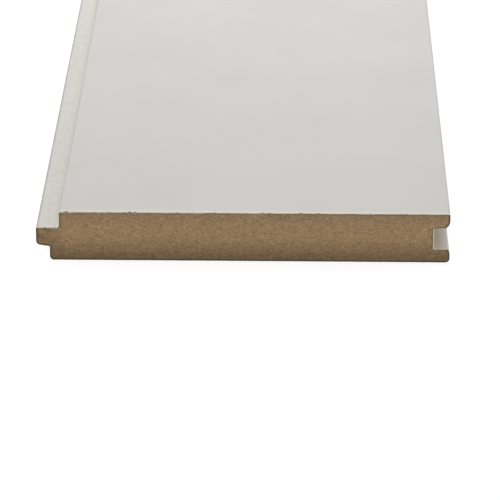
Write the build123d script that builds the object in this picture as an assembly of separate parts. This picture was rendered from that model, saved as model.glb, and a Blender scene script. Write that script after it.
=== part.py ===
from build123d import *
import os

# A primed MDF nickel-gap shiplap board, lying face up on its back.
# One length of moulded stock with the same section all along it: a tongue along the left edge and a
# groove along the right one. The face is cut back further than the back is over the tongue, so that
# two boards pushed together meet at their backs and leave an even gap between their faces.
#
# The frame is in millimetres: X across the board from the tongue to the groove, Y along its length,
# Z up from the back to the face. The origin is on the floor, under the middle of the board.

# Driving dimensions of the stock
length = 2438.4             # 8 ft, square sawn at both ends
overall_width = 139.7       # 5 1/2 in, from the tongue's tip to the groove's lips
thickness = 17.46           # 11/16 in

# The groove and its two lips
lower_lip = 4.75            # thickness of the lip at the back
groove_height = 7.65
groove_depth = 5.95

# The tongue, which runs in the groove of the next board
tongue_reach = 4.6          # beyond the back's edge
tongue_top_clearance = 0.65
tongue_bottom_clearance = 0.2
tongue_taper = 0.6          # how far the underside rises from the root to the tip
face_gap = 3.18             # 1/8 in, how far the face stops short of the back's edge

# Rounded corners of the section
face_arris_radius = 0.6
back_corner_radius = 1.4
tip_top_radius = 0.5
tip_bottom_radius = 1.5

# The eased corners at the groove's mouth: how far each one reaches in, and how high it is
upper_mouth_inset = 1.4
upper_mouth_height = 2.6
lower_mouth_inset = 0.6
lower_mouth_height = 2.0

# Places across the section, worked out from the sizes above
tip_x = -overall_width / 2
lip_x = overall_width / 2
back_edge_x = tip_x + tongue_reach
face_edge_x = back_edge_x + face_gap
groove_floor_x = lip_x - groove_depth
groove_top_z = lower_lip + groove_height
tongue_top_z = groove_top_z - tongue_top_clearance
tongue_root_z = lower_lip + tongue_bottom_clearance
tongue_tip_z = tongue_root_z + tongue_taper

UP = (0, 1)
DOWN = (0, -1)


def tongue_edge():
    """The left edge of the section, from the back's corner up to the face's corner."""
    return Polyline(
        (back_edge_x, 0),
        (back_edge_x, tongue_root_z),
        (tip_x, tongue_tip_z),
        (tip_x, tongue_top_z),
        (face_edge_x, tongue_top_z),
        (face_edge_x, thickness),
    )


def groove_edge():
    """The right edge of the section, from the face's corner down to the back's corner."""
    mouth_top = (lip_x - upper_mouth_inset, groove_top_z)
    mouth_bottom = (lip_x - lower_mouth_inset, lower_lip)
    upper_ease = (lip_x, groove_top_z + upper_mouth_height)
    lower_ease = (lip_x, lower_lip - lower_mouth_height)
    return [
        Line((lip_x, thickness), upper_ease),
        TangentArc(upper_ease, mouth_top, tangent=DOWN),
        Polyline(
            mouth_top,
            (groove_floor_x, groove_top_z),
            (groove_floor_x, lower_lip),
            mouth_bottom,
        ),
        TangentArc(lower_ease, mouth_bottom, tangent=UP),
        Line(lower_ease, (lip_x, 0)),
    ]


def corner(face, x, z):
    """The vertex of the section at a corner, for rounding it."""
    return face.vertices().sort_by_distance((x, z, 0))[0]


def section():
    """The whole section, drawn flat with X across and Y for the height above the back."""
    left = tongue_edge()
    face_line = Line((face_edge_x, thickness), (lip_x, thickness))
    back_line = Line((lip_x, 0), (back_edge_x, 0))
    face = make_face(Curve() + [left, face_line, *groove_edge(), back_line])
    rounded_corners = [
        (face_edge_x, thickness, face_arris_radius),
        (lip_x, thickness, face_arris_radius),
        (back_edge_x, 0, back_corner_radius),
        (lip_x, 0, back_corner_radius),
        (tip_x, tongue_top_z, tip_top_radius),
        (tip_x, tongue_tip_z, tip_bottom_radius),
    ]
    for x, z, radius in rounded_corners:
        face = fillet(corner(face, x, z), radius)
    return face


def board():
    """The section run along the whole length, centred on the origin."""
    upright = Plane.XZ * section()
    return extrude(upright, amount=length / 2, both=True)


os.makedirs("parts", exist_ok=True)
export_step(board(), "parts/board.step")
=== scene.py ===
"""A primed MDF shiplap board, with its primed face and edges, its sanded back and its sawn ends.

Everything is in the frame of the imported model: X across the board from the tongue to the groove,
Y along its length, Z up from the back to the face. Sizes are in millimetres, and MM makes them metres.
"""

import math
import random

import bpy
from mathutils import Matrix, Vector, geometry, kdtree, noise


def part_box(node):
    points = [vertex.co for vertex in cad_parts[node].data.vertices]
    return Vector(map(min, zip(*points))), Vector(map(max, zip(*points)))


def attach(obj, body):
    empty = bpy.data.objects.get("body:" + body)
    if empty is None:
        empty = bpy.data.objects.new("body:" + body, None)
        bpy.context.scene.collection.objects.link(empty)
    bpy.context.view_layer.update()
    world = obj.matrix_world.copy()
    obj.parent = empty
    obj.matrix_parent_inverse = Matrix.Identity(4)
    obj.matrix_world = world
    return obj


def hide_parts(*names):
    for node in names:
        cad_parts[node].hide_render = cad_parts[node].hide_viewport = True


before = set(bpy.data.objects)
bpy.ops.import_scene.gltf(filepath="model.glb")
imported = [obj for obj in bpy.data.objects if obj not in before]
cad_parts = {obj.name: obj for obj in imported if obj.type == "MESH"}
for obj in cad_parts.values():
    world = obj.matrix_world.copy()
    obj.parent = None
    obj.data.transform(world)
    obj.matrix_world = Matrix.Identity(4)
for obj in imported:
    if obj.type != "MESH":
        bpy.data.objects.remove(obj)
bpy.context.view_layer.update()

MM = 0.001
SEED = 7

# The section's own sizes. Its width, length and thickness are those of the CAD node.
LOWER_LIP = 4.75
GROOVE_HEIGHT = 7.65
GROOVE_DEPTH = 5.95
TONGUE_REACH = 4.6
TONGUE_TOP_CLEARANCE = 0.65
TONGUE_BOTTOM_CLEARANCE = 0.2
TONGUE_TAPER = 0.6
FACE_GAP = 3.18
FACE_ARRIS_RADIUS = 0.6
BACK_CORNER_RADIUS = 1.4
TIP_TOP_RADIUS = 0.5
TIP_BOTTOM_RADIUS = 1.5
UPPER_MOUTH_INSET = 1.4
UPPER_MOUTH_HEIGHT = 2.6
LOWER_MOUTH_INSET = 0.6
LOWER_MOUTH_HEIGHT = 2.0

# The primer's fillets in the inner corners, and its build-up at the groove's bottom
TONGUE_CORNER_FILLET = 0.9
TONGUE_UNDERSIDE_FILLET = 0.3
GROOVE_FILLET = 0.4
GROOVE_COAT = 0.55

lowest, highest = (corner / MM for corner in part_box("board"))
WIDTH = highest.x - lowest.x
LENGTH = highest.y - lowest.y
THICKNESS = highest.z - lowest.z
TIP_X = lowest.x
LIP_X = highest.x
BACK_EDGE_X = TIP_X + TONGUE_REACH
FACE_EDGE_X = BACK_EDGE_X + FACE_GAP
GROOVE_FLOOR_X = LIP_X - GROOVE_DEPTH
COATED_FLOOR_X = GROOVE_FLOOR_X + GROOVE_COAT
GROOVE_TOP_Z = LOWER_LIP + GROOVE_HEIGHT
TONGUE_TOP_Z = GROOVE_TOP_Z - TONGUE_TOP_CLEARANCE
TONGUE_ROOT_Z = LOWER_LIP + TONGUE_BOTTOM_CLEARANCE
TONGUE_TIP_Z = TONGUE_ROOT_Z + TONGUE_TAPER

# The board's surfaces, in the order of its material slots
FACE, EDGE, SAWN, BACK, BROKEN = range(5)

# How finely the mesh is divided
ARC_STEP = 0.16
LEAST_ARC_STEPS = 3
END_STEP = 0.33
COARSE_EVERY = 12           # of the fine points on a flat, for the long stretch between the ends
CAP_STEP = 0.42
CAP_JITTER = 0.1
CAP_MARGIN = 0.24
SUPPORT = 0.35              # how far beside a rounded corner its flat gets a point of its own
INSIDE_ONLY = 1             # has the triangulation fill the inside of the loop that it is given
SAME_PLACE = 1e-6           # and takes points this near to each other as one

# The rings round the board, by their distance from the end that is nearer
RIM_RING = 0.8
LAST_FINE_RING = 2.5
COARSE_RINGS = (6.0, 25.0, 90.0, 230.0, 500.0, LENGTH / 3)

# The nicks along the face's edge at the near end: place across the board, half width and reach
NEAR_NICKS = (
    (-59.5, 0.60, 0.55),
    (-38.2, 0.65, 0.65),
    (-36.4, 0.50, 0.40),
    (-9.5, 0.90, 0.30),
    (6.5, 0.60, 0.50),
    (8.9, 0.45, 0.45),
    (19.7, 0.80, 0.50),
    (25.6, 0.60, 0.45),
    (43.0, 0.60, 0.30),
    (52.7, 0.50, 0.40),
    (55.2, 0.40, 0.35),
)
FAR_NICKS = 9
FAR_NICK_HALF_WIDTHS = (0.5, 1.2)
FAR_NICK_REACHES = (0.3, 0.7)
NICK_INSET = 0.35           # how far in a nick draws the cut's outline, as a share of its reach
NICK_TEAR = 0.6             # how uneven its reach is
NICK_TEAR_SIZE = (0.35, 0.35)

# The wear of the ends' edges: how far back they are broken, and how far in the cut's outline is drawn
EDGE_REACH = 0.16
EDGE_INSET = 0.10
LEAST_WEAR = 0.01
UNEVENNESS = 0.09
COARSE_UNEVENNESS_SIZE = (2.6, 2.6)
FINE_UNEVENNESS_SIZE = (0.7, 0.7)
BACK_EDGE_SHARPNESS = 0.06  # how much less there is of both at the back's edge
FACE_EDGE_INSET = 0.12      # how much further in the outline is drawn below the face, where it is wavy
FACE_EDGE_WAVE = 0.2
FACE_EDGE_WAVE_SIZE = (4.0, 4.0)
FACE_EDGE_SLANT = 0.0017    # how much less that is with each millimetre towards the groove

# The relief of the saw's cut: depths, and sizes across the board and up through it
RELIEF_MEAN = 0.06
FIBRE_RELIEF = 0.03
FIBRE_SIZE = (1.7, 0.6)
FIBRE_FRACTAL = (0.8, 2.0, 3)   # its increment factor, lacunarity and octaves
GRIT_RELIEF = 0.022
GRIT_SIZE = (0.45, 0.4)
PIT_RELIEF = 0.12
PIT_RADIUS = 0.3
PIT_SPACING = (2.4, 1.3)
PIT_UNIT = 2.0              # about how many millimetres a distance of 1 is, in units of that spacing
PIT_CELL_SPREAD = 9.7       # sets the cells' centres far enough apart to draw a value each
PIT_CELLS_ABOVE = 0.35      # the cells with a pit are those that draw more than this

# The texture map: two bands for the ends, then three for the long sides
MAP_EDGE = 0.006
MAP_GAP = 0.006
CAP_RIM = 1.2               # how far the ends' bands go on beyond the ends' outline
CAP_RIM_USED = 0.9          # the share of that which the sides' first ring takes
SIDE_WEIGHT = {FACE: 0.5, BACK: 0.35, EDGE: 1.6}
SHARP_ANGLE = 32.0

# The finishes' own colours
PRIMER = (0.573, 0.566, 0.540)
EDGE_PRIMER = (0.70, 0.68, 0.645)
LIFTED_PRIMER = (0.71, 0.655, 0.545)
BROKEN_PRIMER = (0.77, 0.70, 0.575)
THIN_PRIMER_AND_SHADE = (0.40, 0.385, 0.355)
SHOWING_THROUGH = (0.42, 0.36, 0.29)
WARM_PRIMER = (1.025, 0.99, 0.92)   # what its warmer patches multiply the edges' primer by
GROOVE_INSIDE = (0.58, 0.49, 0.395)
PALE_FIBRE = (1.40, 1.38, 1.34)     # what the fibres multiply the bare MDF's own colour by
DARK_FIBRE = (0.52, 0.50, 0.48)
SPECK = (0.10, 0.065, 0.035)
TONGUE_MDF = (0.195, 0.135, 0.07)
# The dark brown of bare MDF, which also serves as painted shade round the sawn ends' rims and in the
# groove's inner corner
DARK_MDF_AND_SHADE = (0.105, 0.088, 0.066)
NICKED_MDF = (0.24, 0.185, 0.125)
BACK_MDF = (0.44, 0.31, 0.19)
LEAST_SPOT = 0.4            # the smallest spot, in given radii. The largest is one radius larger

# How much painted shade darkens the sawn end's rim: 1 at the board's outer sides, and less in these places
RIM_FACING_UP = 0.35
RIM_SHELTERED = 0.4         # by the walls of the groove and of the corner between the tongue and the face
SHELTER_LEFT = FACE_EDGE_X - 0.5
SHELTER_RIGHT = LIP_X - UPPER_MOUTH_INSET
SHELTER_BOTTOM = 1.4

# The sawn end's colour from the back, at 0, to the face, at 1: darker towards both faces, where the MDF is
# denser, and darker at the back than at the face as painted shade
MDF_BANDS = (
    (0.00, (0.212, 0.143, 0.077)),
    (0.10, (0.240, 0.162, 0.086)),
    (0.27, (0.324, 0.214, 0.114)),
    (0.45, (0.408, 0.268, 0.142)),
    (0.65, (0.412, 0.271, 0.144)),
    (0.82, (0.388, 0.256, 0.141)),
    (1.00, (0.330, 0.230, 0.130)),
)

# The studio, in metres. Lamps: width, length, place, target and brightness
SURROUND = (0.45, 0.45, 0.45)
LAMPS = {
    "over_near_end": (0.5, 0.5, (0.0, -0.66, 0.6), (0.0, -0.66, 0.0), 2.4),
    "over_far_end": (0.5, 0.5, (0.0, 0.66, 0.6), (0.0, 0.66, 0.0), 2.4),
    "left": (2.6, 0.9, (-1.3, -0.4, 0.55), (0.0, -0.4, 0.1), 0.9),
    "right": (2.6, 0.9, (1.3, -0.4, 0.55), (0.0, -0.4, 0.1), 0.4),
    "front": (1.6, 0.8, (0.0, -2.6, 0.7), (0.0, -1.2, 0.0), 1.3),
    "far": (1.6, 0.8, (0.0, 2.6, 0.7), (0.0, 1.2, 0.0), 0.7),
}
FLOOR_SIZE = 80.0
FLOOR_COLOUR = (0.72, 0.72, 0.72)
FLOOR_SHOWN = (0.45, 0.45, 0.45, 1)     # how the camera sees it under the lamps, before its glow
FLOOR_GLOW = 0.76           # its glow round the board, and 1 far from it
FLOOR_NEAR_X = 0.9          # half the width and length of the floor round the board
FLOOR_NEAR_Y = 1.7
FLOOR_GLOW_GROWS = (0.5, 4.0)   # where the glow starts to grow and is 1, in squared distance on that scale

# The photograph's camera, from the near end: lens and sensor in millimetres, angles in degrees
CAMERA_LENS = 238.426
CAMERA_SENSOR = 36.0
CAMERA_X = 17.286
CAMERA_AWAY = 1034.309
CAMERA_HEIGHT = 429.911
CAMERA_YAW = -0.8221
CAMERA_PITCH = 22.3753
CAMERA_ROLL = 0.10987
CAMERA_CLIP_START = 0.05    # in metres


# The section

def straight(start, end):
    """The two ends of a straight stretch, with a point just inside each, which keeps the flat flat."""
    along = (end - start).normalized() * SUPPORT
    if (end - start).length < 4 * SUPPORT:
        return [start, end]
    return [start, start + along, end - along, end]


def arc(centre, radius, start, end):
    """Points along an arc between two angles in radians."""
    steps = max(LEAST_ARC_STEPS, math.ceil(abs(end - start) * radius / ARC_STEP))
    angles = [start + (end - start) * i / steps for i in range(steps + 1)]
    return [centre + radius * Vector((math.cos(a), math.sin(a))) for a in angles]


def fillet(before, corner, after, radius):
    """The arc that rounds a corner between the directions of two neighbouring corners."""
    into = (corner - before).normalized()
    out = (after - corner).normalized()
    turn = into.angle_signed(out)
    cut = radius * math.tan(abs(turn) / 2)
    side = -1 if turn > 0 else 1
    normal = Vector((into.y, -into.x)) * side
    centre = corner - into * cut - normal * radius
    start = math.atan2(normal.y, normal.x)
    return arc(centre, radius, start, start - turn)


def stretches():
    """The section anticlockwise from the back's left corner, as (surface, points) stretches."""
    def at(x, z):
        return Vector((x, z))

    upper_radius = (UPPER_MOUTH_INSET ** 2 + UPPER_MOUTH_HEIGHT ** 2) / (2 * UPPER_MOUTH_INSET)
    lower_radius = (LOWER_MOUTH_INSET ** 2 + LOWER_MOUTH_HEIGHT ** 2) / (2 * LOWER_MOUTH_INSET)
    upper_centre = at(LIP_X - upper_radius, GROOVE_TOP_Z + UPPER_MOUTH_HEIGHT)
    lower_centre = at(LIP_X - lower_radius, LOWER_LIP - LOWER_MOUTH_HEIGHT)

    back_left, back_right = at(BACK_EDGE_X, 0), at(LIP_X, 0)
    face_left, face_right = at(FACE_EDGE_X, THICKNESS), at(LIP_X, THICKNESS)
    groove_low, groove_high = at(COATED_FLOOR_X, LOWER_LIP), at(COATED_FLOOR_X, GROOVE_TOP_Z)
    tongue_root_top = at(FACE_EDGE_X, TONGUE_TOP_Z)
    tongue_root = at(BACK_EDGE_X, TONGUE_ROOT_Z)
    tip_top, tip_bottom = at(TIP_X, TONGUE_TOP_Z), at(TIP_X, TONGUE_TIP_Z)

    corner_left = fillet(tongue_root, back_left, back_right, BACK_CORNER_RADIUS)
    corner_right = fillet(back_left, back_right, face_right, BACK_CORNER_RADIUS)
    lower_mouth = arc(lower_centre, lower_radius, 0, math.asin(LOWER_MOUTH_HEIGHT / lower_radius))
    upper_mouth = arc(upper_centre, upper_radius, -math.asin(UPPER_MOUTH_HEIGHT / upper_radius), 0)
    arris_right = fillet(back_right, face_right, face_left, FACE_ARRIS_RADIUS)
    arris_left = fillet(face_right, face_left, tongue_root_top, FACE_ARRIS_RADIUS)
    tip_upper = fillet(tongue_root_top, tip_top, tip_bottom, TIP_TOP_RADIUS)
    tip_lower = fillet(tip_top, tip_bottom, tongue_root, TIP_BOTTOM_RADIUS)
    groove_lower = fillet(lower_mouth[-1], groove_low, groove_high, GROOVE_FILLET)
    groove_upper = fillet(groove_low, groove_high, upper_mouth[0], GROOVE_FILLET)
    tongue_upper = fillet(face_left, tongue_root_top, tip_top, TONGUE_CORNER_FILLET)
    tongue_under = fillet(tip_bottom, tongue_root, back_left, TONGUE_UNDERSIDE_FILLET)

    return [
        (BACK, straight(corner_left[-1], corner_right[0])),
        (EDGE, corner_right),
        (EDGE, straight(corner_right[-1], lower_mouth[0])),
        (EDGE, lower_mouth),
        (EDGE, straight(lower_mouth[-1], groove_lower[0])),
        (EDGE, groove_lower),
        (EDGE, straight(groove_lower[-1], groove_upper[0])),
        (EDGE, groove_upper),
        (EDGE, straight(groove_upper[-1], upper_mouth[0])),
        (EDGE, upper_mouth),
        (EDGE, straight(upper_mouth[-1], arris_right[0])),
        (FACE, arris_right),
        (FACE, straight(arris_right[-1], arris_left[0])),
        (FACE, arris_left),
        (EDGE, straight(arris_left[-1], tongue_upper[0])),
        (EDGE, tongue_upper),
        (EDGE, straight(tongue_upper[-1], tip_upper[0])),
        (EDGE, tip_upper),
        (EDGE, straight(tip_upper[-1], tip_lower[0])),
        (EDGE, tip_lower),
        (EDGE, straight(tip_lower[-1], tongue_under[0])),
        (EDGE, tongue_under),
        (EDGE, straight(tongue_under[-1], corner_left[0])),
        (EDGE, corner_left),
    ]


class Outline:
    """The section's closed outline at the ends' fine spacing, with what is known at each point."""

    def __init__(self):
        self.points = []
        self.surface = []       # that of the stretch which leaves each point
        self.coarse = []        # the points that the long stretch between the ends keeps
        for surface, corners in stretches():
            for start, end in zip(corners, corners[1:]):
                parts = max(1, round((end - start).length / END_STEP))
                for i in range(parts):
                    far_from_end = parts - i > COARSE_EVERY / 2
                    if i == 0 or (i % COARSE_EVERY == 0 and far_from_end):
                        self.coarse.append(len(self.points))
                    self.points.append(start.lerp(end, i / parts))
                    self.surface.append(surface)
        self.count = len(self.points)
        self.normals = [self.outward(i) for i in range(self.count)]
        self.around = self.shares()

    def outward(self, i):
        """The direction out of the section at a point, between those of its two stretches."""
        point = self.points[i]
        into = (point - self.points[i - 1]).normalized()
        out = (self.points[(i + 1) % self.count] - point).normalized()
        along = (into + out).normalized()
        return Vector((along.y, -along.x))

    def tone(self, i):
        """How much painted shade darkens the sawn end's rim at a point: most where the outline faces
        sideways or down.
        """
        point, normal = self.points[i], self.normals[i]
        sheltered = SHELTER_LEFT < point.x < SHELTER_RIGHT and point.y > SHELTER_BOTTOM
        most = RIM_SHELTERED if sheltered else 1
        return max(RIM_FACING_UP, most * abs(normal.x), -most * normal.y)

    def shares(self):
        """How far round the outline each point is, from 0 to 1, with the narrow edges drawn large."""
        reached = [0.0]
        for i, point in enumerate(self.points):
            step = (self.points[(i + 1) % self.count] - point).length
            reached.append(reached[-1] + step * SIDE_WEIGHT[self.surface[i]])
        return [r / reached[-1] for r in reached]


# The sawn ends

class End:
    """One sawn end of the board, with the wear of its edges and the relief of its cut."""

    def __init__(self, plane, inward, nicks):
        self.plane = plane      # its place along Y
        self.inward = inward    # which way along Y the board lies from it, 1 or -1
        self.nicks = nicks

    def y(self, depth):
        return self.plane + self.inward * depth

    def in_noise(self, point, size, layer=0):
        """Where a point is in a noise with features of the given size. Each layer and end has its own."""
        across, up = size
        return Vector((point.x / across, point.y / up, self.plane + layer))

    def nick(self, point):
        """How far back the edge is nicked at a point of the outline, with a torn, uneven edge."""
        deepest = 0.0
        for place, half_width, reach in self.nicks:
            off = (point - place).length / half_width
            deepest = max(deepest, reach * (1 - off * off))
        torn = noise.noise(self.in_noise(point, NICK_TEAR_SIZE, layer=3))
        return deepest * (1 + NICK_TEAR * torn)

    def wear(self, point, normal):
        """How far the cut's outline is drawn in at a point, and how far back its broken edge reaches."""
        coarse = noise.noise(self.in_noise(point, COARSE_UNEVENNESS_SIZE))
        fine = noise.noise(self.in_noise(point, FINE_UNEVENNESS_SIZE, layer=5))
        uneven = UNEVENNESS * (coarse + fine)
        wave = noise.noise(self.in_noise(point, FACE_EDGE_WAVE_SIZE, layer=7))
        below_face = FACE_EDGE_INSET + FACE_EDGE_WAVE * wave - FACE_EDGE_SLANT * point.x
        below_face = max(0.0, below_face) * max(0.0, normal.y)
        sharper = BACK_EDGE_SHARPNESS * max(0.0, -normal.y)
        inset = max(LEAST_WEAR, EDGE_INSET + below_face - sharper + uneven / 2)
        reach = max(LEAST_WEAR, EDGE_REACH - sharper + uneven)
        nick = self.nick(point)
        return inset + NICK_INSET * nick, reach + nick

    def relief(self, point):
        """How far below the end's plane the cut lies."""
        fibres = noise.fractal(self.in_noise(point, FIBRE_SIZE), *FIBRE_FRACTAL)
        grit = noise.noise(self.in_noise(point, GRIT_SIZE, layer=9))
        distances, centres = noise.voronoi(self.in_noise(point, PIT_SPACING))
        pit = 0.0
        if noise.cell(centres[0] * PIT_CELL_SPREAD) > PIT_CELLS_ABOVE:
            pit = max(0.0, 1 - (distances[0] * PIT_UNIT / PIT_RADIUS) ** 2)
        depth = RELIEF_MEAN + FIBRE_RELIEF * fibres + GRIT_RELIEF * grit + PIT_RELIEF * pit
        return max(0.0, depth)


def crossings(loop, z):
    """Where a level line crosses a closed loop, from left to right."""
    found = []
    for start, end in zip(loop, loop[1:] + loop[:1]):
        if (start.y > z) != (end.y > z):
            found.append(start.x + (z - start.y) * (end.x - start.x) / (end.y - start.y))
    return sorted(found)


def tree_of(points):
    """A tree that finds the nearest of the points."""
    tree = kdtree.KDTree(len(points))
    for i, point in enumerate(points):
        tree.insert((point.x, point.y, 0), i)
    tree.balance()
    return tree


def scattered(loop, draw):
    """Points spread evenly but not regularly over the inside of a loop, clear of the loop itself."""
    tree = tree_of(loop)
    inside = []
    row_height = CAP_STEP * math.sqrt(3) / 2
    for row in range(1, int(THICKNESS / row_height)):
        level = crossings(loop, row * row_height)
        shift = CAP_STEP / 2 * (row % 2)
        for left, right in zip(level[::2], level[1::2]):
            first = math.ceil((left - shift) / CAP_STEP)
            last = math.floor((right - shift) / CAP_STEP)
            for column in range(first, last + 1):
                x = column * CAP_STEP + shift + draw.uniform(-CAP_JITTER, CAP_JITTER)
                z = row * row_height + draw.uniform(-CAP_JITTER, CAP_JITTER)
                if tree.find((x, z, 0))[2] > CAP_MARGIN:
                    inside.append(Vector((x, z)))
    return inside


# The mesh

class Shell:
    """The board's mesh as it grows, with each face's surface and each corner's place on the map."""

    def __init__(self):
        self.places = []
        self.rims = []          # each point's distance from the section's outline, on the ends
        self.rim_shades = []         # how far the outline beside each point is darkened, on the ends
        self.nicks = []         # how deep each point's edge is nicked
        self.faces = []
        self.surfaces = []
        self.maps = []

    def point(self, flat, y, rim=0.0, tone=0.0, nick=0.0):
        self.places.append((flat.x * MM, y * MM, flat.y * MM))
        self.rims.append(rim)
        self.rim_shades.append(tone)
        self.nicks.append(nick)
        return len(self.places) - 1

    def face(self, corners, surface, places):
        self.faces.append(corners)
        self.surfaces.append(surface)
        self.maps.append(places)


class EndMap:
    """An end's band of the texture map, which holds a little of the sides round the cut too."""

    scale = (1 - 2 * MAP_EDGE) / (WIDTH + 2 * CAP_RIM)
    height = (THICKNESS + 2 * CAP_RIM) * scale

    def __init__(self, band):
        self.bottom = MAP_EDGE + band * (self.height + MAP_GAP)
        self.top = self.bottom + self.height + MAP_GAP

    def at(self, flat):
        across = (flat.x - TIP_X + CAP_RIM) * self.scale
        up = (flat.y + CAP_RIM) * self.scale
        return MAP_EDGE + across, self.bottom + up


class SideMap:
    """The bands of the texture map for the long sides, unrolled, one for each third of the length."""

    def __init__(self, bottom):
        self.bottom = bottom
        self.height = (1 - MAP_EDGE - bottom + MAP_GAP) / 3 - MAP_GAP

    def at(self, share, y, third):
        along = (y - lowest.y) / (LENGTH / 3) - third
        band = self.bottom + third * (self.height + MAP_GAP)
        return MAP_EDGE + (1 - 2 * MAP_EDGE) * along, band + self.height * share


def add_end(shell, outline, end, end_map, draw):
    """Adds a sawn end and its broken edge, and returns the ring just behind them."""
    around = list(zip(outline.points, outline.normals))
    insets, reaches = zip(*(end.wear(point, normal) for point, normal in around))
    loop = [point - normal * inset for (point, normal), inset in zip(around, insets)]
    flat_points = loop + scattered(loop, draw)
    whole_loop = [list(range(outline.count))]
    filled = geometry.delaunay_2d_cdt(flat_points, [], whole_loop, INSIDE_ONLY, SAME_PLACE)
    made, _, corners, sources = filled[:4]

    tree = tree_of(outline.points)
    ids = []
    for flat, source in zip(made, sources):
        _, nearest, rim = tree.find((flat.x, flat.y, 0))
        tone = outline.tone(nearest)
        nick = end.nick(outline.points[nearest])
        ids.append(shell.point(flat, end.y(end.relief(flat)), rim, tone, nick))
    for corner in corners:
        order = corner if end.inward > 0 else corner[::-1]
        shell.face([ids[k] for k in order], SAWN, [end_map.at(made[k]) for k in order])
    of_source = {source[0]: ids[k] for k, source in enumerate(sources)}
    cut = [of_source[i] for i in range(outline.count)]

    broken, behind = [], []
    for point, reach in zip(outline.points, reaches):
        broken.append(shell.point(point, end.y(reach), nick=end.nick(point)))
        behind.append(shell.point(point, end.y(max(RIM_RING, reach + EDGE_REACH))))
    cut_map = [end_map.at(point) for point in loop]
    broken_map = [end_map.at(point + normal * reach) for (point, normal), reach in zip(around, reaches)]
    behind_map = [end_map.at(point + normal * CAP_RIM * CAP_RIM_USED) for point, normal in around]
    strips = (
        ((cut, cut_map), (broken, broken_map), [BROKEN] * outline.count),
        ((broken, broken_map), (behind, behind_map), outline.surface),
    )
    for (ring, ring_map), (after, after_map), surfaces in strips:
        for i in range(outline.count):
            j = (i + 1) % outline.count
            add_face(
                shell,
                (ring[i], after[i], after[j], ring[j]),
                surfaces[i],
                (ring_map[i], after_map[i], after_map[j], ring_map[j]),
                end.inward > 0,
            )
    return behind


def add_face(shell, corners, surface, places, forward):
    """Adds a face whose corners are in the near end's order, or turns it round for the far end."""
    if forward:
        shell.face(corners, surface, places)
    else:
        shell.face(corners[::-1], surface, places[::-1])


def add_fine_ring(shell, outline, end, behind, side_map, third):
    """Adds the last ring that has all the outline's points, and returns it."""
    y, start = end.y(LAST_FINE_RING), end.y(RIM_RING)
    ring = [shell.point(point, y) for point in outline.points]
    for i in range(outline.count):
        j = (i + 1) % outline.count
        here, there = outline.around[i], outline.around[i + 1]
        add_face(
            shell,
            (behind[i], ring[i], ring[j], behind[j]),
            outline.surface[i],
            (
                side_map.at(here, start, third),
                side_map.at(here, y, third),
                side_map.at(there, y, third),
                side_map.at(there, start, third),
            ),
            end.inward > 0,
        )
    return ring


def add_thinning(shell, outline, end, fine, side_map, third):
    """Adds the strip from the last fine ring to the first coarse one, and returns the coarse one."""
    near, far = end.y(LAST_FINE_RING), end.y(COARSE_RINGS[0])
    ring = [shell.point(outline.points[i], far) for i in outline.coarse]
    fine_map = [side_map.at(share, near, third) for share in outline.around]
    bounds = outline.coarse + [outline.count]
    for k, (first, last) in enumerate(zip(bounds, bounds[1:])):
        after = (k + 1) % len(ring)
        middle = (first + last) // 2
        surface = outline.surface[first]
        first_map = side_map.at(outline.around[first], far, third)
        last_map = side_map.at(outline.around[last], far, third)
        for i in range(first, last):
            corner, corner_map = (ring[k], first_map) if i < middle else (ring[after], last_map)
            add_face(
                shell,
                (fine[i], corner, fine[(i + 1) % outline.count]),
                surface,
                (fine_map[i], corner_map, fine_map[i + 1]),
                end.inward > 0,
            )
        add_face(
            shell,
            (fine[middle % outline.count], ring[k], ring[after]),
            surface,
            (fine_map[middle], first_map, last_map),
            end.inward > 0,
        )
    return ring


def add_sides(shell, outline, near_ring, far_ring, side_map):
    """Adds the long sides between the coarse rings nearest to the two ends."""
    depths = [lowest.y + depth for depth in COARSE_RINGS]
    depths += [highest.y - depth for depth in reversed(COARSE_RINGS)]
    rings = [near_ring]
    for y in depths[1:-1]:
        rings.append([shell.point(outline.points[i], y) for i in outline.coarse])
    rings.append(far_ring)
    bounds = outline.coarse + [outline.count]
    for start, end, y, next_y in zip(rings, rings[1:], depths, depths[1:]):
        third = int(((y + next_y) / 2 - lowest.y) / (LENGTH / 3))
        for k, (first, last) in enumerate(zip(bounds, bounds[1:])):
            after = (k + 1) % len(start)
            here, there = outline.around[first], outline.around[last]
            shell.face(
                (start[k], end[k], end[after], start[after]),
                outline.surface[first],
                (
                    side_map.at(here, y, third),
                    side_map.at(here, next_y, third),
                    side_map.at(there, next_y, third),
                    side_map.at(there, y, third),
                ),
            )


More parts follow.
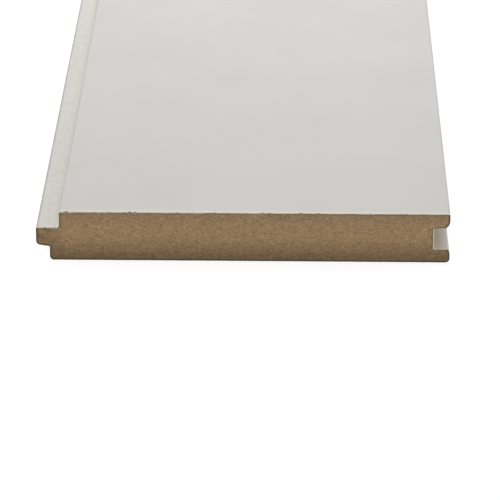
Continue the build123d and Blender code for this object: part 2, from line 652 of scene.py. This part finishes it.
def board_mesh():
    """The whole board as one closed mesh."""
    outline = Outline()
    shell = Shell()
    draw = random.Random(SEED)
    near_nicks = [(Vector((x, THICKNESS)), half_width, reach) for x, half_width, reach in NEAR_NICKS]
    far_nicks = []
    for _ in range(FAR_NICKS):
        place = Vector((draw.uniform(FACE_EDGE_X, LIP_X), THICKNESS))
        half_width = draw.uniform(*FAR_NICK_HALF_WIDTHS)
        far_nicks.append((place, half_width, draw.uniform(*FAR_NICK_REACHES)))
    near_end = End(lowest.y, 1, near_nicks)
    far_end = End(highest.y, -1, far_nicks)

    near_map, far_map = EndMap(0), EndMap(1)
    side_map = SideMap(far_map.top)
    rings = []
    for end, end_map, third in ((near_end, near_map, 0), (far_end, far_map, 2)):
        behind = add_end(shell, outline, end, end_map, draw)
        fine = add_fine_ring(shell, outline, end, behind, side_map, third)
        rings.append(add_thinning(shell, outline, end, fine, side_map, third))
    add_sides(shell, outline, *rings, side_map)

    mesh = bpy.data.meshes.new("shiplap_board")
    mesh.from_pydata(shell.places, [], shell.faces)
    mesh.polygons.foreach_set("material_index", shell.surfaces)
    uv_layer = mesh.uv_layers.new(name="OFBake")
    flat_maps = [value for places in shell.maps for place in places for value in place]
    uv_layer.data.foreach_set("uv", flat_maps)
    for name, values in (("rim", shell.rims), ("tone", shell.rim_shades), ("nick", shell.nicks)):
        attribute = mesh.attributes.new(name, "FLOAT", "POINT")
        attribute.data.foreach_set("value", values)
    mesh.shade_smooth()
    mesh.set_sharp_from_angle(angle=math.radians(SHARP_ANGLE))
    mesh.validate()
    return mesh


# The materials. Their sizes and places are in millimetres, and each noise has a seed of its own

class Nodes:
    """A material's node tree, with short ways to add the nodes that the materials share."""

    def __init__(self, name, roughness, specular):
        self.material = bpy.data.materials.new(name)
        self.material.use_nodes = True
        self.tree = self.material.node_tree
        self.tree.nodes.clear()
        self.shader = self.tree.nodes.new("ShaderNodeBsdfPrincipled")
        self.shader.inputs["Specular IOR Level"].default_value = specular
        self.shader.inputs["Roughness"].default_value = roughness
        output = self.tree.nodes.new("ShaderNodeOutputMaterial")
        self.tree.links.new(self.shader.outputs[0], output.inputs["Surface"])
        coordinates = self.tree.nodes.new("ShaderNodeTexCoord")
        self.place = self.scaled(coordinates.outputs["Object"], (1 / MM,) * 3)

    def put(self, value, socket):
        """Sets a socket to a number or colour, or links another socket to it."""
        if isinstance(value, bpy.types.NodeSocket):
            self.tree.links.new(value, socket)
        elif hasattr(socket.default_value, "__len__") and not hasattr(value, "__len__"):
            socket.default_value = (value,) * len(socket.default_value)
        elif hasattr(value, "__len__") and len(value) < len(socket.default_value):
            socket.default_value = (*value, 1)
        else:
            socket.default_value = value

    def scaled(self, vector, factors):
        node = self.tree.nodes.new("ShaderNodeVectorMath")
        node.operation = "MULTIPLY"
        self.put(vector, node.inputs[0])
        self.put(factors, node.inputs[1])
        return node.outputs[0]

    def math(self, operation, first, second=0.0, third=0.0, clamp=False):
        node = self.tree.nodes.new("ShaderNodeMath")
        node.operation = operation
        node.use_clamp = clamp
        for value, socket in zip((first, second, third), node.inputs):
            self.put(value, socket)
        return node.outputs[0]

    def times(self, first, second):
        return self.math("MULTIPLY", first, second)

    def vary(self, base, amount, value):
        """The base plus the value times the amount."""
        return self.math("MULTIPLY_ADD", value, amount, base)

    def axis(self, name):
        """The place along one axis, in millimetres."""
        node = self.tree.nodes.new("ShaderNodeSeparateXYZ")
        self.put(self.place, node.inputs[0])
        return node.outputs[name]

    def attribute(self, name):
        """One of the values that the mesh carries."""
        node = self.tree.nodes.new("ShaderNodeAttribute")
        node.attribute_name = name
        return node.outputs["Fac"]

    def rise(self, value, start, end, before=0.0, after=1.0):
        """A smooth step from before to after, as the value goes from start to end."""
        node = self.tree.nodes.new("ShaderNodeMapRange")
        node.interpolation_type = "SMOOTHSTEP"
        for item, socket in zip((value, start, end, before, after), node.inputs):
            self.put(item, socket)
        return node.outputs[0]

    def fall(self, value, start, end, most=1.0):
        """A smooth step from most down to 0, as the value goes from start to end."""
        return self.rise(value, start, end, most, 0.0)

    def in_units_of(self, size):
        """The place in units of a size, which is one number or one for each of X, Y and Z."""
        sizes = size if hasattr(size, "__len__") else (size,) * 3
        return self.scaled(self.place, [1 / s for s in sizes])

    def noise(self, size, seed, detail=3.0, rough=0.5, warp=0.0):
        """A noise whose features have about the given size, in millimetres."""
        node = self.tree.nodes.new("ShaderNodeTexNoise")
        node.noise_dimensions = "4D"
        self.put(self.in_units_of(size), node.inputs["Vector"])
        self.put(seed, node.inputs["W"])
        self.put(1.0, node.inputs["Scale"])
        self.put(detail, node.inputs["Detail"])
        self.put(rough, node.inputs["Roughness"])
        self.put(warp, node.inputs["Distortion"])
        return node.outputs[0]

    def spots(self, size, radius, share):
        """Small round spots in a share of the cells of the given size, 1 at the middle of each."""
        node = self.tree.nodes.new("ShaderNodeTexVoronoi")
        self.put(self.in_units_of(size), node.inputs["Vector"])
        self.put(1.0, node.inputs["Scale"])
        split = self.tree.nodes.new("ShaderNodeSeparateColor")
        self.put(node.outputs["Color"], split.inputs[0])
        chosen = self.math("LESS_THAN", split.outputs[0], share)
        reach = self.vary(LEAST_SPOT * radius, radius, split.outputs[1])
        away = self.math("DIVIDE", node.outputs["Distance"], reach)
        return self.times(chosen, self.math("SUBTRACT", 1.0, away, clamp=True))

    def fibres(self, size, seed):
        """Short wavy fibres along the longer of the sizes, 1 on each."""
        return self.rise(self.noise(size, seed, rough=0.6, warp=0.25), 0.54, 0.68)

    def mix(self, factor, first, second, most=1.0, blend="MIX"):
        """The first colour, turned into the second or multiplied by it, by the factor times most."""
        if most != 1.0:
            factor = self.times(factor, most)
        node = self.tree.nodes.new("ShaderNodeMix")
        node.data_type = "RGBA"
        node.blend_type = blend
        self.put(factor, node.inputs[0])
        self.put(first, node.inputs[6])
        self.put(second, node.inputs[7])
        return node.outputs[2]

    def shade(self, colour, amount, value):
        """The colour made lighter or darker by up to the amount, as the value goes from 0 to 1."""
        return self.scaled(colour, self.vary(1 - amount, 2 * amount, value))

    def ramp(self, value, stops):
        node = self.tree.nodes.new("ShaderNodeValToRGB")
        elements = node.color_ramp.elements
        while len(elements) < len(stops):
            elements.new(1.0)
        for element, (place, colour) in zip(elements, stops):
            element.position = place
            element.color = (*colour, 1)
        self.put(value, node.inputs[0])
        return node.outputs[0]

    def bump(self, height, depth, below=None):
        """Raises the surface by the height, where 1 stands for the depth in millimetres."""
        node = self.tree.nodes.new("ShaderNodeBump")
        node.inputs["Strength"].default_value = 1.0
        node.inputs["Distance"].default_value = depth * MM
        self.put(height, node.inputs["Height"])
        if below:
            self.put(below, node.inputs["Normal"])
        return node.outputs[0]

    def from_end(self):
        """The distance from the nearer end, in millimetres."""
        away = self.math("ABSOLUTE", self.axis("Y"))
        return self.math("SUBTRACT", LENGTH / 2, away)

    def finish(self, colour, roughness, normal):
        self.put(colour, self.shader.inputs["Base Color"])
        self.put(roughness, self.shader.inputs["Roughness"])
        self.put(normal, self.shader.inputs["Normal"])
        return self.material


def primed_face():
    """Smooth satin primer, with a faint stipple, a dark line of thin primer and painted shade beside the
    tongue, and a paler line where the saw broke it at the ends.
    """
    nodes = Nodes("primed_face", roughness=0.45, specular=0.5)
    colour = nodes.shade(PRIMER, 0.03, nodes.noise(70.0, seed=1))
    colour = nodes.shade(colour, 0.012, nodes.noise(6.0, seed=2, detail=2.0))
    specks = nodes.spots(26.0, radius=0.014, share=0.5)
    colour = nodes.mix(specks, colour, SPECK, most=0.25)
    # A dark line along the edge beside the tongue: thin primer, and painted shade where the rounded edge
    # turns away from the light
    thin = nodes.fall(nodes.axis("X"), FACE_EDGE_X + 0.1, FACE_EDGE_X + 0.7)
    patchy = nodes.rise(nodes.noise((2.0, 9.0, 2.0), seed=7), 0.2, 0.7, before=0.3, after=0.7)
    colour = nodes.mix(nodes.times(thin, patchy), colour, THIN_PRIMER_AND_SHADE)
    ragged = nodes.vary(nodes.from_end(), 0.9, nodes.noise(1.1, seed=3))
    stressed = nodes.fall(ragged, 1.8, 5.0, most=0.2)
    colour = nodes.mix(stressed, colour, LIFTED_PRIMER)
    lifted = nodes.fall(ragged, 1.7, 2.9)
    colour = nodes.mix(lifted, colour, LIFTED_PRIMER, most=0.9)
    roughness = nodes.vary(0.36, 0.12, nodes.noise(30.0, seed=4))
    stipple = nodes.bump(nodes.noise(0.7, seed=5), depth=0.006)
    normal = nodes.bump(nodes.noise(6.0, seed=6, detail=2.0), depth=0.02, below=stipple)
    return nodes.finish(colour, roughness, normal)


def primed_edge():
    """Thinner primer on the machined tongue and groove: warmer, rougher, and streaked by the cutter."""
    nodes = Nodes("primed_edge", roughness=0.6, specular=0.5)
    across = nodes.axis("X")
    colour = nodes.shade(EDGE_PRIMER, 0.08, nodes.noise((2.4, 4.5, 2.4), seed=11, detail=2.0, rough=0.6))
    colour = nodes.shade(colour, 0.17, nodes.noise((0.9, 2.0, 0.9), seed=19, detail=2.0, rough=0.6))
    warm = nodes.rise(nodes.noise((1.3, 3.0, 1.3), seed=20), 0.4, 0.65, after=0.6)
    colour = nodes.mix(warm, colour, WARM_PRIMER, blend="MULTIPLY")
    streaks = nodes.noise((0.5, 160.0, 0.5), seed=12, detail=2.0)
    colour = nodes.shade(colour, 0.06, streaks)
    thin = nodes.rise(nodes.noise((1.3, 2.6, 1.3), seed=13), 0.58, 0.72)
    colour = nodes.mix(thin, colour, SHOWING_THROUGH, most=0.3)

    # The groove, from 0 near the lips to 1 at its bottom, with the cutter's streaks along it
    in_groove = nodes.math("GREATER_THAN", across, 0.0)
    deep = nodes.times(nodes.rise(across, LIP_X - 0.8, COATED_FLOOR_X), in_groove)
    colour = nodes.mix(deep, colour, GROOVE_INSIDE)
    cut = nodes.shade(colour, 0.35, nodes.noise((0.45, 140.0, 0.45), seed=17, detail=2.0))
    colour = nodes.mix(in_groove, colour, cut)
    pooled = nodes.fall(across, COATED_FLOOR_X + 0.2, COATED_FLOOR_X + 0.5, most=0.7)
    pooled = nodes.times(pooled, in_groove)
    colour = nodes.mix(pooled, colour, BROKEN_PRIMER)

    # The tongue: its primer is thin at its tip, darkened there with painted shade too, and thick in the
    # corner beside the face near the ends, paler there with painted light that lifts the wall's shade
    # Thin primer and painted shade at the tip
    tip = nodes.fall(across, TIP_X + 0.4, TIP_X + 0.9)
    patchy = nodes.rise(nodes.noise((2.0, 7.0, 2.0), seed=18), 0.2, 0.7, before=0.6)
    colour = nodes.mix(nodes.times(tip, patchy), colour, THIN_PRIMER_AND_SHADE)
    # Pooled primer, and painted light that lifts the shade of the face's wall
    beside = nodes.rise(across, FACE_EDGE_X - 1.8, FACE_EDGE_X - 0.4)
    beside = nodes.times(beside, nodes.fall(nodes.from_end(), 9.0, 20.0, most=0.9))
    on_tongue = nodes.math("LESS_THAN", across, 0.0)
    colour = nodes.mix(nodes.times(beside, on_tongue), colour, BROKEN_PRIMER)
    ragged = nodes.vary(nodes.from_end(), 0.9, nodes.noise(1.1, seed=14))
    lifted = nodes.fall(ragged, 1.0, 2.0)
    most = nodes.vary(0.6, -0.4, in_groove)
    colour = nodes.mix(nodes.times(lifted, most), colour, BROKEN_PRIMER)
    roughness = nodes.vary(0.48, 0.2, nodes.noise(1.5, seed=15))
    fuzz = nodes.bump(nodes.noise((0.8, 1.4, 0.8), seed=16, detail=4.0, rough=0.65), depth=0.07)
    normal = nodes.bump(streaks, depth=0.03, below=fuzz)
    return nodes.finish(colour, roughness, normal)


def fibre_colour(nodes, colour, seed, stretch=1.0):
    """Adds MDF's matted fibres to a colour: soft mottling, pale and dark fibres and dark specks."""
    def sized(flat, up):
        return flat, flat * stretch, up

    colour = nodes.shade(colour, 0.30, nodes.noise(sized(2.6, 1.4), seed, rough=0.6))
    colour = nodes.shade(colour, 0.56, nodes.noise(sized(1.0, 0.6), seed + 1, detail=2.0, rough=0.6))
    pale = nodes.fibres(sized(1.9, 0.42), seed + 2)
    colour = nodes.mix(pale, colour, PALE_FIBRE, most=0.55, blend="MULTIPLY")
    dark = nodes.fibres(sized(1.5, 0.42), seed + 3)
    colour = nodes.mix(dark, colour, DARK_FIBRE, most=0.65, blend="MULTIPLY")
    specks = nodes.spots(sized(2.8, 1.9), radius=0.22, share=0.5)
    return nodes.mix(specks, colour, SPECK, most=0.85)


def sawn_mdf():
    """The cut through the board: darker and denser towards both faces, darker still towards the back and
    round its rim as painted shade, with matted fibres.
    """
    nodes = Nodes("sawn_mdf", roughness=0.85, specular=0.25)
    across, height = nodes.axis("X"), nodes.axis("Z")
    # The bands darken towards both faces, and towards the back also as painted shade
    wander = nodes.math("SUBTRACT", nodes.noise((9.0, 9.0, 3.0), seed=21), 0.5)
    share = nodes.vary(nodes.math("DIVIDE", height, THICKNESS), 0.16, wander)
    colour = nodes.ramp(share, MDF_BANDS)
    tongue = nodes.fall(across, TIP_X + 1.0, TIP_X + 11.0)
    rubbed = nodes.rise(nodes.noise((2.6, 2.6, 1.8), seed=26, rough=0.6), 0.38, 0.62, before=0.4)
    colour = nodes.mix(nodes.times(tongue, rubbed), colour, TONGUE_MDF)
    colour = fibre_colour(nodes, colour, 22)
    # Painted shade round the rim, darkest where the outline faces sideways or down
    edge = nodes.vary(nodes.attribute("rim"), 0.3, nodes.noise(0.9, seed=29, detail=2.0))
    shaded_rim = nodes.fall(edge, 0.45, 1.05)
    colour = nodes.mix(nodes.times(shaded_rim, nodes.attribute("tone")), colour, DARK_MDF_AND_SHADE)

    # The primer's own thickness at the groove's bottom, beside a dark line of painted shade in the
    # groove's inner corner
    from_lower = nodes.math("SUBTRACT", height, LOWER_LIP)
    from_upper = nodes.math("SUBTRACT", GROOVE_TOP_Z, height)
    between_lips = nodes.rise(nodes.math("MINIMUM", from_lower, from_upper), 0.0, 0.3)
    ragged = nodes.vary(across, 0.2, nodes.noise(0.9, seed=30, detail=2.0))
    corner_shade = nodes.rise(ragged, GROOVE_FLOOR_X - 0.3, GROOVE_FLOOR_X + 0.2, after=0.6)
    colour = nodes.mix(nodes.times(corner_shade, between_lips), colour, DARK_MDF_AND_SHADE)
    coat = nodes.rise(ragged, GROOVE_FLOOR_X + 0.25, GROOVE_FLOOR_X + 0.4)
    colour = nodes.mix(nodes.times(coat, between_lips), colour, BROKEN_PRIMER)
    fuzz = nodes.bump(nodes.noise((0.5, 0.5, 0.3), seed=27, detail=4.0, rough=0.7), depth=0.05)
    roughness = nodes.vary(0.78, 0.14, nodes.noise(1.2, seed=28, detail=2.0))
    return nodes.finish(colour, roughness, fuzz)


def sanded_back():
    """The bare back: sanded MDF, with primer that strayed round its two long edges."""
    nodes = Nodes("sanded_back", roughness=0.7, specular=0.35)
    colour = nodes.shade(BACK_MDF, 0.05, nodes.noise(45.0, seed=31, detail=2.0))
    colour = fibre_colour(nodes, colour, 32, stretch=1.6)
    lines = nodes.noise((0.7, 240.0, 1.0), seed=37, detail=2.0)
    colour = nodes.shade(colour, 0.03, lines)
    across = nodes.axis("X")
    from_left = nodes.math("SUBTRACT", across, BACK_EDGE_X)
    from_right = nodes.math("SUBTRACT", LIP_X, across)
    inward = nodes.math("MINIMUM", from_left, from_right)
    ragged = nodes.vary(inward, -4.0, nodes.noise((2.0, 9.0, 2.0), seed=38, detail=4.0, rough=0.6))
    strayed = nodes.fall(ragged, -1.2, 1.4, most=0.9)
    colour = nodes.mix(strayed, colour, EDGE_PRIMER)
    roughness = nodes.vary(0.64, 0.12, nodes.noise(1.5, seed=39, detail=2.0))
    normal = nodes.bump(nodes.noise((0.6, 1.0, 0.6), seed=40, rough=0.6), depth=0.02)
    return nodes.finish(colour, roughness, normal)


def broken_edge():
    """The narrow broken edge round the ends: torn primer above, and brown fibre where it chipped off,
    darker still as painted shade where it faces sideways or down.
    """
    nodes = Nodes("broken_edge", roughness=0.8, specular=0.3)
    torn = nodes.noise((0.9, 0.6, 0.6), seed=41, rough=0.7)
    share = nodes.math("DIVIDE", nodes.axis("Z"), THICKNESS)
    primed = nodes.rise(share, 0.04, 0.3)
    # Painted shade: less primer is kept where the rim faces sideways or down, so the dark MDF shows there
    unshaded = nodes.math("SUBTRACT", 1.0, nodes.attribute("tone"), clamp=True)
    kept = nodes.times(nodes.rise(torn, 0.34, 0.48), unshaded)
    colour = nodes.mix(nodes.times(primed, kept), DARK_MDF_AND_SHADE, BROKEN_PRIMER)
    nicked = nodes.rise(nodes.attribute("nick"), 0.06, 0.2, after=0.9)
    hanging = nodes.times(nodes.rise(torn, 0.45, 0.55), nodes.fall(nodes.from_end(), 0.12, 0.3))
    bare = nodes.math("SUBTRACT", 1.0, hanging)
    colour = nodes.mix(nodes.times(nicked, bare), colour, NICKED_MDF)
    roughness = nodes.vary(0.7, 0.2, torn)
    normal = nodes.bump(nodes.noise(0.4, seed=42, rough=0.7), depth=0.05)
    return nodes.finish(colour, roughness, normal)


def dress(mesh):
    """Gives the mesh its materials, in the order of the surfaces' numbers."""
    for material in (primed_face(), primed_edge(), sawn_mdf(), sanded_back(), broken_edge()):
        mesh.materials.append(material)


# The board

board = bpy.data.objects.new("shiplap_board", board_mesh())
bpy.context.scene.collection.objects.link(board)
dress(board.data)
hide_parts("board")
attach(board, "root")


# The studio: a large pale floor, a pale surround, and soft lamps over, beside and beyond the board

def lamp(name, width, length, place, target, strength):
    """A soft rectangular lamp of the given size that faces its target, with strength as its brightness."""
    light = bpy.data.lights.new(name, "AREA")
    light.shape = "RECTANGLE"
    light.size, light.size_y = width, length
    light.energy = strength * math.pi * width * length
    body = bpy.data.objects.new(name, light)
    body.location = place
    body.rotation_euler = (Vector(target) - Vector(place)).to_track_quat("-Z", "Y").to_euler()
    body.visible_camera = False
    bpy.context.scene.collection.objects.link(body)


def seen_directly(tree):
    """1 for rays from the camera and for mirrored and refracted ones, which see a white studio."""
    paths = tree.nodes.new("ShaderNodeLightPath")
    most = paths.outputs["Is Camera Ray"]
    for name in ("Is Glossy Ray", "Is Transmission Ray"):
        both = tree.nodes.new("ShaderNodeMath")
        both.operation = "MAXIMUM"
        tree.links.new(most, both.inputs[0])
        tree.links.new(paths.outputs[name], both.inputs[1])
        most = both.outputs[0]
    return most


def surround():
    """A white world to look at, which lights the board as a soft, weaker one."""
    world = bpy.data.worlds.new("studio")
    world.use_nodes = True
    tree = world.node_tree
    tree.nodes.clear()
    lit, seen = (tree.nodes.new("ShaderNodeBackground") for _ in range(2))
    lit.inputs["Color"].default_value = (*SURROUND, 1)
    seen.inputs["Color"].default_value = (1, 1, 1, 1)
    either = tree.nodes.new("ShaderNodeMixShader")
    output = tree.nodes.new("ShaderNodeOutputWorld")
    tree.links.new(seen_directly(tree), either.inputs[0])
    tree.links.new(lit.outputs[0], either.inputs[1])
    tree.links.new(seen.outputs[0], either.inputs[2])
    tree.links.new(either.outputs[0], output.inputs["Surface"])
    bpy.context.scene.world = world


def floor():
    """The pale floor. It looks white, more by its own glow the further it is from the board's shadow."""
    mesh = bpy.data.meshes.new("floor")
    half = FLOOR_SIZE / 2
    corners = [(-half, -half, 0), (half, -half, 0), (half, half, 0), (-half, half, 0)]
    mesh.from_pydata(corners, [], [range(len(corners))])
    piece = bpy.data.objects.new("floor", mesh)
    bpy.context.scene.collection.objects.link(piece)

    nodes = Nodes("floor", roughness=0.9, specular=0.2)
    tree = nodes.tree
    nodes.put(FLOOR_COLOUR, nodes.shader.inputs["Base Color"])
    across = nodes.math("DIVIDE", nodes.axis("X"), FLOOR_NEAR_X / MM)
    along = nodes.math("DIVIDE", nodes.axis("Y"), FLOOR_NEAR_Y / MM)
    squared = nodes.vary(nodes.times(along, along), across, across)
    glow = nodes.rise(squared, *FLOOR_GLOW_GROWS, before=FLOOR_GLOW)
    emission = tree.nodes.new("ShaderNodeEmission")
    matt = tree.nodes.new("ShaderNodeBsdfDiffuse")
    matt.inputs["Color"].default_value = FLOOR_SHOWN
    seen = tree.nodes.new("ShaderNodeAddShader")
    either = tree.nodes.new("ShaderNodeMixShader")
    output = next(n for n in tree.nodes if n.type == "OUTPUT_MATERIAL")
    nodes.put(glow, emission.inputs["Strength"])
    tree.links.new(emission.outputs[0], seen.inputs[0])
    tree.links.new(matt.outputs[0], seen.inputs[1])
    tree.links.new(seen_directly(tree), either.inputs[0])
    tree.links.new(nodes.shader.outputs[0], either.inputs[1])
    tree.links.new(seen.outputs[0], either.inputs[2])
    tree.links.new(either.outputs[0], output.inputs["Surface"])
    mesh.materials.append(nodes.material)


def camera():
    """The photograph's camera, by its place, the way that it faces and its lens."""
    yaw, pitch, roll = (math.radians(angle) for angle in (CAMERA_YAW, CAMERA_PITCH, CAMERA_ROLL))
    forward = Vector((
        math.sin(yaw) * math.cos(pitch),
        math.cos(yaw) * math.cos(pitch),
        -math.sin(pitch),
    ))
    level = Vector((math.cos(yaw), -math.sin(yaw), 0))
    upright = level.cross(forward)
    right = level * math.cos(roll) + upright * math.sin(roll)
    up = upright * math.cos(roll) - level * math.sin(roll)
    data = bpy.data.cameras.new("camera")
    data.lens = CAMERA_LENS
    data.sensor_width = CAMERA_SENSOR
    data.clip_start = CAMERA_CLIP_START
    data.clip_end = 2 * FLOOR_SIZE
    body = bpy.data.objects.new("camera", data)
    turned = Matrix((right, up, -forward)).transposed().to_4x4()
    place = Vector((CAMERA_X, lowest.y - CAMERA_AWAY, CAMERA_HEIGHT)) * MM
    body.matrix_world = Matrix.Translation(place) @ turned
    bpy.context.scene.collection.objects.link(body)
    bpy.context.scene.camera = body


surround()
floor()
for lamp_name, lamp_values in LAMPS.items():
    lamp(lamp_name, *lamp_values)
camera()
bpy.context.scene.view_settings.view_transform = "Standard"
